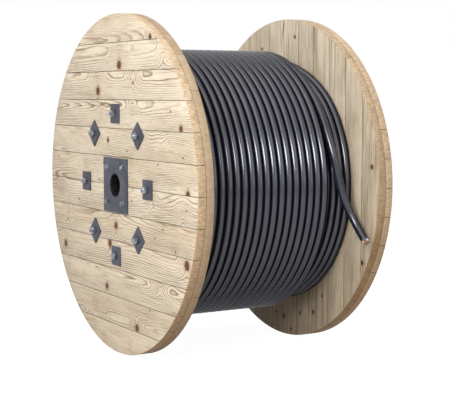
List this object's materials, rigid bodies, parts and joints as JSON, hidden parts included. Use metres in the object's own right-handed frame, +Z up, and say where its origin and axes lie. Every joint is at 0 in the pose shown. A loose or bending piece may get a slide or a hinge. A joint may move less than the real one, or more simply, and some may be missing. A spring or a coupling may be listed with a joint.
{
  "type": "wooden cable drum",
  "caption": "Wooden cable drum with crosswise plank flanges, tie rods, steel centre plates and a full winding of black power cable with one free end.",
  "frame": {"origin": "on the floor, under the middle of the drum as it stands on its two rims", "axes": "+Z up, Y along the drum's axis from the near flange at -Y to the far flange at +Y, X across the drum towards the side with the cable's free end"},
  "size_m": [1.25, 0.842, 1.25],
  "materials": {
    "pine_plank": "rough sawn pine, pale and dry",
    "pine_stave": "rough sawn pine",
    "dark_steel": "dark grey primer, matt",
    "zinc_steel": "bright zinc plate",
    "cable_sheath": "black polymer sheath, satin",
    "core_insulation": "coloured core insulation"
  },
  "bodies": {
    "root": {"barrel_staves": "pine_stave", "cable_cores": "core_insulation", "cable_tail": "cable_sheath", "cable_winding": "cable_sheath", "far_centre_plate": "dark_steel", "far_inner_plank_01": "pine_plank", "far_inner_plank_02": "pine_plank", "far_inner_plank_03": "pine_plank", "far_inner_plank_04": "pine_plank", "far_inner_plank_05": "pine_plank", "far_inner_plank_06": "pine_plank", "far_inner_plank_07": "pine_plank", "far_inner_plank_08": "pine_plank", "far_inner_plank_09": "pine_plank", "far_inner_plank_10": "pine_plank", "far_inner_plank_11": "pine_plank", "far_inner_plank_12": "pine_plank", "far_outer_plank_01": "pine_plank", "far_outer_plank_02": "pine_plank", "far_outer_plank_03": "pine_plank", "far_outer_plank_04": "pine_plank", "far_outer_plank_05": "pine_plank", "far_outer_plank_06": "pine_plank", "far_outer_plank_07": "pine_plank", "far_outer_plank_08": "pine_plank", "far_outer_plank_09": "pine_plank", "far_outer_plank_10": "pine_plank", "far_outer_plank_11": "pine_plank", "far_outer_plank_12": "pine_plank", "near_centre_plate": "dark_steel", "near_inner_plank_01": "pine_plank", "near_inner_plank_02": "pine_plank", "near_inner_plank_03": "pine_plank", "near_inner_plank_04": "pine_plank", "near_inner_plank_05": "pine_plank", "near_inner_plank_06": "pine_plank", "near_inner_plank_07": "pine_plank", "near_inner_plank_08": "pine_plank", "near_inner_plank_09": "pine_plank", "near_inner_plank_10": "pine_plank", "near_inner_plank_11": "pine_plank", "near_inner_plank_12": "pine_plank", "near_outer_plank_01": "pine_plank", "near_outer_plank_02": "pine_plank", "near_outer_plank_03": "pine_plank", "near_outer_plank_04": "pine_plank", "near_outer_plank_05": "pine_plank", "near_outer_plank_06": "pine_plank", "near_outer_plank_07": "pine_plank", "near_outer_plank_08": "pine_plank", "near_outer_plank_09": "pine_plank", "near_outer_plank_10": "pine_plank", "near_outer_plank_11": "pine_plank", "near_outer_plank_12": "pine_plank", "tie_rod_washers": "dark_steel", "tie_rods": "zinc_steel"}
  },
  "joints": []
}
